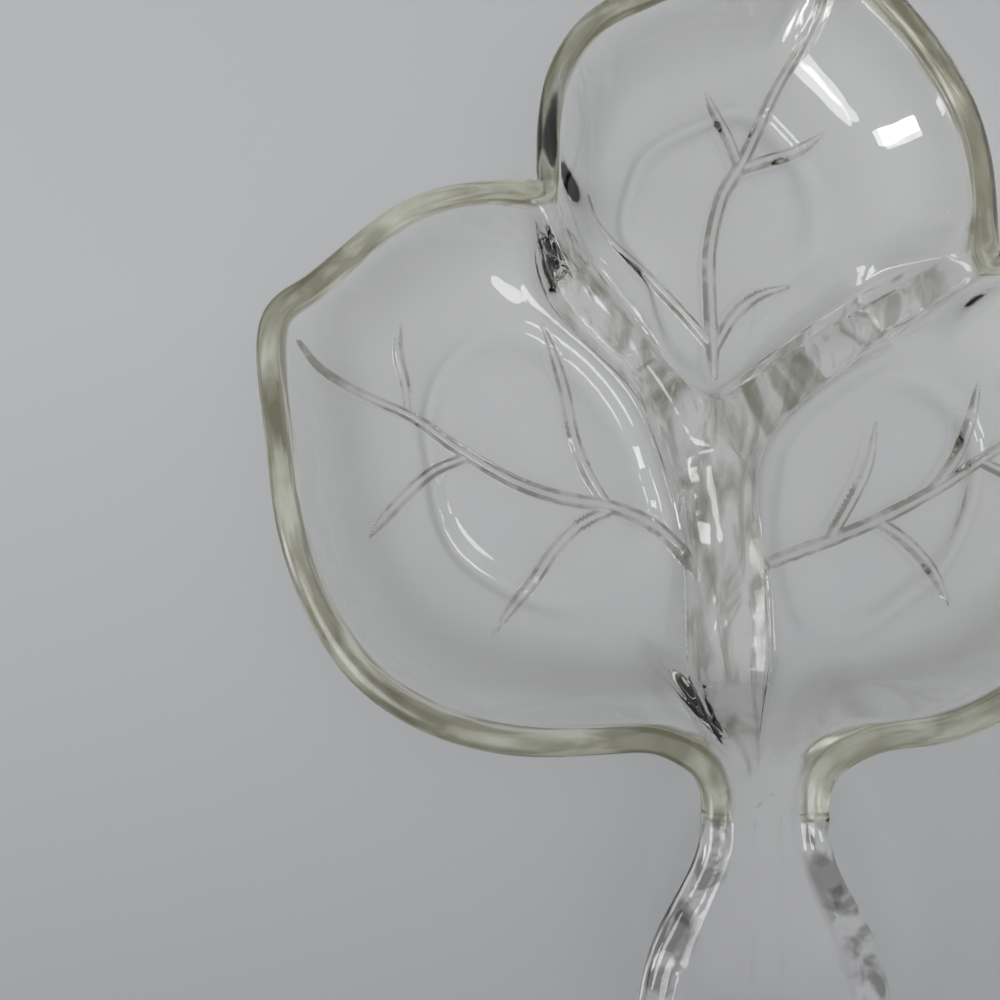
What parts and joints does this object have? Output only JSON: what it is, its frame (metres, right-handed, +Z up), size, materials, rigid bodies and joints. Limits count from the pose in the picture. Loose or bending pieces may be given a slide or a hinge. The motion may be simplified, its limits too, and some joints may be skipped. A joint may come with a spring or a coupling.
{
  "type": "divided relish tray",
  "caption": "Leaf-shaped divided relish tray of clear pressed glass, with a rolled rim, low dividers, raised veins, foot rings and a flat stem handle.",
  "frame": {"origin": "middle of the tray's outline, on the plane the feet rest on", "axes": "+Z up; +Y from the stem towards the top lobe's tip, the tray's length; +X to the right, seen from above with the stem towards the viewer"},
  "size_m": [0.2382, 0.3104, 0.028],
  "materials": {
    "body_glass": "polished pressed glass",
    "rim_glass": "polished pressed glass",
    "divider_glass": "polished pressed glass",
    "vein_glass": "polished pressed glass"
  },
  "bodies": {
    "root": {"left_floor": "body_glass", "top_floor": "body_glass", "right_floor": "body_glass", "left_wall": "body_glass", "top_wall": "body_glass", "right_wall": "body_glass", "left_rim": "rim_glass", "top_rim": "rim_glass", "right_rim": "rim_glass", "left_divider": "divider_glass", "right_divider": "divider_glass", "centre_divider": "divider_glass", "divider_hub": "divider_glass", "left_foot": "body_glass", "top_foot": "body_glass", "right_foot": "body_glass", "left_midrib": "vein_glass", "top_midrib": "vein_glass", "right_midrib": "vein_glass", "left_side_veins": "vein_glass", "top_side_veins": "vein_glass", "right_side_veins": "vein_glass", "stem_web": "body_glass", "stem_rim_left": "rim_glass", "stem_rim_right": "rim_glass", "stem_rib": "body_glass"}
  },
  "joints": []
}
